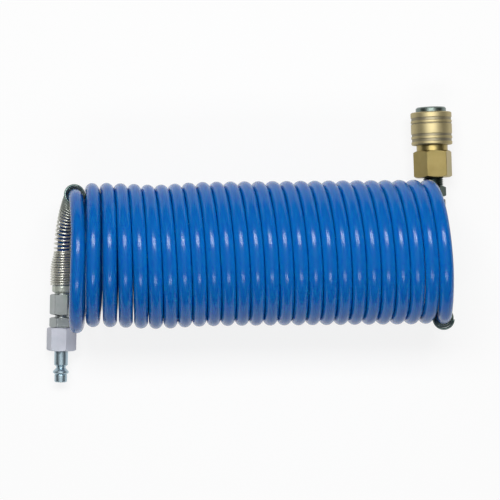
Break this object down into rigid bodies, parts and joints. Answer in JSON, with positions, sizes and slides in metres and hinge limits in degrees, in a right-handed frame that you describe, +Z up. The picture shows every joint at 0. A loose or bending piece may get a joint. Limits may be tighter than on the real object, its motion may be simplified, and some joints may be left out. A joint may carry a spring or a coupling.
{
  "type": "coiled air hose",
  "caption": "Coiled recoil air hose with a kink-guard spring at each end, a steel plug nipple on one end and a brass quick coupler with a sprung sliding sleeve on the other.",
  "frame": {"origin": "centre of the bounding box, on the floor that the hose lies on", "axes": "+X along the coil's axis from the plug end to the coupler end, +Y the way the coupler points, +Z up from the floor"},
  "size_m": [0.262, 0.1774, 0.0892],
  "materials": {
    "hose": "glossy",
    "plug_zinc": "zinc plated",
    "nut_steel": "plated",
    "spring_wire": "drawn wire",
    "brass": "turned",
    "body_steel": "dark steel",
    "ball_steel": "polished",
    "rubber": "matt"
  },
  "bodies": {
    "plug_end": {"plug_nipple": "plug_zinc", "plug_thread_seal": "rubber", "plug_connector": "nut_steel", "plug_union_nut": "nut_steel", "plug_spring_guard": "spring_wire", "hose_plug_leg": "hose", "hose_coil": "hose"},
    "coupler_end": {"hose_coupler_leg": "hose", "coupler_spring_guard": "spring_wire", "coupler_union_nut": "nut_steel", "coupler_connector": "nut_steel", "coupler_thread_seal": "rubber", "coupler_tail": "brass", "body_seal": "rubber", "coupler_body": "body_steel", "sleeve_stop_ring": "spring_wire", "nipple_seal": "rubber", "sleeve_spring": "spring_wire", "valve_spring": "spring_wire"},
    "sleeve": {"coupler_sleeve": "brass"},
    "valve": {"valve_poppet": "brass", "valve_seal": "rubber"},
    "ball_1": {"locking_ball_1": "ball_steel"},
    "ball_2": {"locking_ball_2": "ball_steel"},
    "ball_3": {"locking_ball_3": "ball_steel"},
    "ball_4": {"locking_ball_4": "ball_steel"},
    "ball_5": {"locking_ball_5": "ball_steel"},
    "ball_6": {"locking_ball_6": "ball_steel"}
  },
  "joints": [
    {"name": "hose_stretch", "type": "slide", "parent": "plug_end", "child": "coupler_end", "axis": [1, 0, 0], "range_m": [0, 0.6], "stiffness_N_per_m": 5, "deforming": ["hose_coil"]},
    {"name": "sleeve_slide", "type": "slide", "parent": "coupler_end", "child": "sleeve", "axis": [0.0349, -0.9994, 0], "range_m": [0, 0.0034], "stiffness_N_per_m": 1500, "springref_m": -0.004, "deforming": ["sleeve_spring"]},
    {"name": "valve_slide", "type": "slide", "parent": "coupler_end", "child": "valve", "axis": [0.0349, -0.9994, 0], "range_m": [0, 0.003], "stiffness_N_per_m": 1200, "springref_m": -0.003, "deforming": ["valve_spring"]},
    {"name": "ball_1_lift", "type": "slide", "parent": "coupler_end", "child": "ball_1", "axis": [0.9994, 0.0349, 0], "range_m": [0, 0.00086]},
    {"name": "ball_2_lift", "type": "slide", "parent": "coupler_end", "child": "ball_2", "axis": [0.4997, 0.0175, -0.866], "range_m": [0, 0.00086]},
    {"name": "ball_3_lift", "type": "slide", "parent": "coupler_end", "child": "ball_3", "axis": [-0.4997, -0.0175, -0.866], "range_m": [0, 0.00086]},
    {"name": "ball_4_lift", "type": "slide", "parent": "coupler_end", "child": "ball_4", "axis": [-0.9994, -0.0349, 0], "range_m": [0, 0.00086]},
    {"name": "ball_5_lift", "type": "slide", "parent": "coupler_end", "child": "ball_5", "axis": [-0.4997, -0.0175, 0.866], "range_m": [0, 0.00086]},
    {"name": "ball_6_lift", "type": "slide", "parent": "coupler_end", "child": "ball_6", "axis": [0.4997, 0.0175, 0.866], "range_m": [0, 0.00086]}
  ],
  "couplings": [
    {"joint": "ball_1_lift", "follows": "sleeve_slide", "ratio": 0.25},
    {"joint": "ball_2_lift", "follows": "sleeve_slide", "ratio": 0.25},
    {"joint": "ball_3_lift", "follows": "sleeve_slide", "ratio": 0.25},
    {"joint": "ball_4_lift", "follows": "sleeve_slide", "ratio": 0.25},
    {"joint": "ball_5_lift", "follows": "sleeve_slide", "ratio": 0.25},
    {"joint": "ball_6_lift", "follows": "sleeve_slide", "ratio": 0.25}
  ]
}
